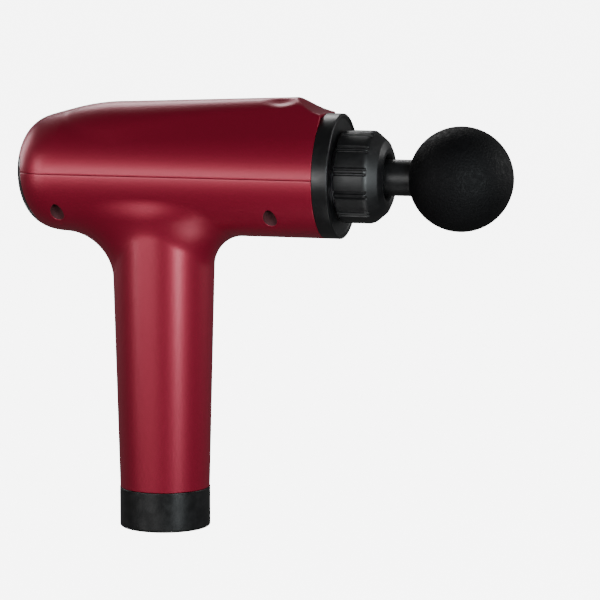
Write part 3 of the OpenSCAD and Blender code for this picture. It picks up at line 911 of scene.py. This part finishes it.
def tube():
    """Battery tube: a can with a rounded end, a groove for its seal, and a ring groove and a centre hole in
    its top.
    """
    low, high = tube_low[2], tube_high[2]
    r = (tube_high - tube_low)[0] / 2
    wall = 1.2
    seal_z = (seal_low[2] + seal_high[2]) / 2
    points = [
        (low, r - wall, 0), (low, r, 0.2), (seal_z - 0.6, r, 0.1), (seal_z - 0.6, r - 0.9, 0.3),
        (seal_z + 0.6, r - 0.9, 0.3), (seal_z + 0.6, r, 0.1), (high - 5.2, r, 0),
        (high - 5.0, r - 0.25, 0.1), (high - 4.6, r - 0.25, 0.1), (high - 4.4, r, 0.1), (high, r, 1.6),
        (high, 12.5, 0.3), (high - 0.3, 12.2, 0), (high - 0.3, 11.8, 0), (high, 11.5, 0.3),
        (high, 2.6, 0.2), (high - 1.5, 2.6, 0), (high - 1.5, r - wall, 0),
    ]
    verts, faces = lathe(rounded(points), False, 144, closed=True)
    make("battery_tube_can", verts, faces, TUBE, "battery_pack", "black_matte", ["battery_tube"], 35)


def moved(verts, x, y, z):
    return [(a + x, b + y, c + z) for a, b, c in verts]


def jack():
    """Round charging socket with a bevelled mouth."""
    middle = (jack_low + jack_high) / 2
    r = (jack_high - jack_low)[0] / 2
    low, high = jack_low[2], jack_high[2]
    pin_r, bore_r = 1.02, 2.85
    points = [
        (low, r, 0.25), (high, r, 0.3), (high, pin_r, 0), (low + 10, pin_r, 0),
        (low + 10, bore_r, 0.2), (low + 0.5, bore_r, 0.2), (low + 0.25, 3.35, 0.15), (low, 3.6, 0.15),
    ]
    verts, faces = lathe(rounded(points[1:] + points[:1] + points[1:2])[:-1], False, 72, closed=True)
    verts = moved(verts, middle[0], middle[1], 0)
    make("charge_socket_sleeve", verts, faces, GLOSS, "battery_pack", "black_gloss", ["charge_socket"], 35)


def light():
    """Clear charge light with a domed end."""
    middle = (light_low + light_high) / 2
    r = (light_high - light_low)[0] / 2
    low, high = light_low[2], light_high[2]
    points = [(low, 0.05, 0), (low + 0.05, 0.5 * r, 0.1), (low + 0.35, r, 0.2), (high, r, 0.1)]
    verts, faces = lathe(rounded(points), False, 48)
    verts = moved(verts, middle[0], middle[1], 0)
    make("charge_light_lens", verts, faces, LENS, "battery_pack", "clear_light", ["charge_light"], 35)


def rocker():
    """Power rocker: a bar with two softly dished faces."""
    low, high = key_low, key_high
    middle = (low + high) / 2
    pivot_z = 4.0
    tilt = math.radians(8)
    half_x = 2.9
    section = [(-5, -2.2), (-3.8, 2.8), (3.8, 2.8), (5, -2.2)]
    steps = 24
    for n in range(1, steps):
        t = 1 - 2 * n / steps
        section.append((5 * t, -1.4 - 0.8 * abs(t) ** 1.5))
    verts, faces = [], []
    count = len(section)
    centre = np.array(section).mean(0)
    rows = (
        (-half_x, 0.25), (-half_x + 0.08, 0.07), (-half_x + 0.3, 0),
        (half_x - 0.3, 0), (half_x - 0.08, 0.07), (half_x, 0.25),
    )
    for x, shrink in rows:
        for y, z in section:
            off = np.array([y, z]) - centre
            off = off * (1 - shrink / np.hypot(*off))
            y, z = centre + off
            verts.append((
                x + middle[0],
                y * math.cos(tilt) - z * math.sin(tilt),
                y * math.sin(tilt) + z * math.cos(tilt) + pivot_z,
            ))
    for row in range(len(rows) - 1):
        for n in range(count):
            a, b = row * count + n, row * count + (n + 1) % count
            faces.append([a, a + count, b + count, b])
    faces.append(list(range(count)))
    faces.append([(len(rows) - 1) * count + n for n in reversed(range(count))])
    make("power_rocker_key", verts, faces, GLOSS, "rocker", "black_gloss", ["power_rocker"], 35)


# ---------- stage ----------


def floor_paint():
    """White floor that shows from above only, so that the object's underside can be looked at."""
    p = Paint("floor_white", colour(165, 165, 165), 0.9,
              Emission_Color=colour(250, 250, 250), Emission_Strength=7.0)
    p.rough(p.noise(40.0), 0.85, 0.95)
    side = p.node("ShaderNodeNewGeometry").outputs["Backfacing"]
    clear = p.node("ShaderNodeBsdfTransparent").outputs["BSDF"]
    mix = p.node("ShaderNodeMixShader")
    p.link(side, mix.inputs[0])
    p.link(p.shader.outputs["BSDF"], mix.inputs[1])
    p.link(clear, mix.inputs[2])
    surface = next(n for n in p.tree.nodes if n.type == "OUTPUT_MATERIAL").inputs["Surface"]
    p.link(mix.outputs["Shader"], surface)
    return p.material


def floor():
    half = 20.0
    mesh = bpy.data.meshes.new("floor")
    corners = [(-half, -half, 0), (half, -half, 0), (half, half, 0), (-half, half, 0)]
    mesh.from_pydata(corners, [], [(0, 1, 2, 3)])
    mesh.materials.append(floor_paint())
    plane = bpy.data.objects.new("floor", mesh)
    bpy.context.scene.collection.objects.link(plane)
    plane.location.z = -0.0002
    plane.visible_glossy = False
    plane.visible_diffuse = False
    plane.visible_shadow = False


def softbox(name, azimuth, distance, low, high, wide, power, shade=(1, 1, 1)):
    """An upright area light that faces the object, from one height to another, in metres."""
    a = math.radians(azimuth)
    spot = Vector((math.sin(a) * distance, -math.cos(a) * distance, (low + high) / 2))
    target = Vector((0.02, 0, 0.12))
    light = bpy.data.lights.new(name, "AREA")
    light.shape = "RECTANGLE"
    light.size, light.size_y = wide, high - low
    light.energy = power
    light.color = shade
    obj = bpy.data.objects.new(name, light)
    obj.location = spot
    obj.rotation_euler = (spot - target).to_track_quat("Z", "Y").to_euler()
    obj.visible_camera = False
    bpy.context.scene.collection.objects.link(obj)


def lights():
    softbox("band_light", -17, 1.2, 0.04, 0.34, 0.9, 6.5)
    softbox("left_strip", -46, 0.6, 0.01, 0.40, 0.07, 1.0)
    softbox("right_strip", 50, 0.6, 0.01, 0.40, 0.10, 3.8, (0.9, 0.98, 1.0))
    softbox("back_light", 203, 1.0, 0.75, 1.05, 0.5, 3.5)
    softbox("tail_light", 120, 1.1, 0.15, 0.75, 0.5, 5)
    softbox("rear_light", -110, 1.1, 0.15, 0.75, 0.5, 4)
    softbox("under_light", 30, 0.5, -0.9, -0.5, 0.4, 2)
    world = bpy.data.worlds.new("studio")
    bpy.context.scene.world = world
    world.use_nodes = True
    world.node_tree.nodes["Background"].inputs["Color"].default_value = (1, 1, 1, 1)
    world.node_tree.nodes["Background"].inputs["Strength"].default_value = 0.09


def camera():
    """Long lens from the front right, slightly above the barrel."""
    aim = Vector((0.0637, 0.0183, 0.1113))
    spot = Vector((0.4636, -1.3763, 0.2997))
    data = bpy.data.cameras.new("camera")
    data.lens = 180
    data.sensor_width = 36
    data.clip_end = 100
    obj = bpy.data.objects.new("camera", data)
    obj.location = spot
    obj.rotation_euler = (spot - aim).to_track_quat("Z", "Y").to_euler()
    bpy.context.scene.collection.objects.link(obj)
    bpy.context.scene.camera = obj


dress_cad()
painted_body()
panel_marks()
ring()
collar()
stem()
ball()
base()
tube()
jack()
light()
rocker()
floor()
lights()
camera()
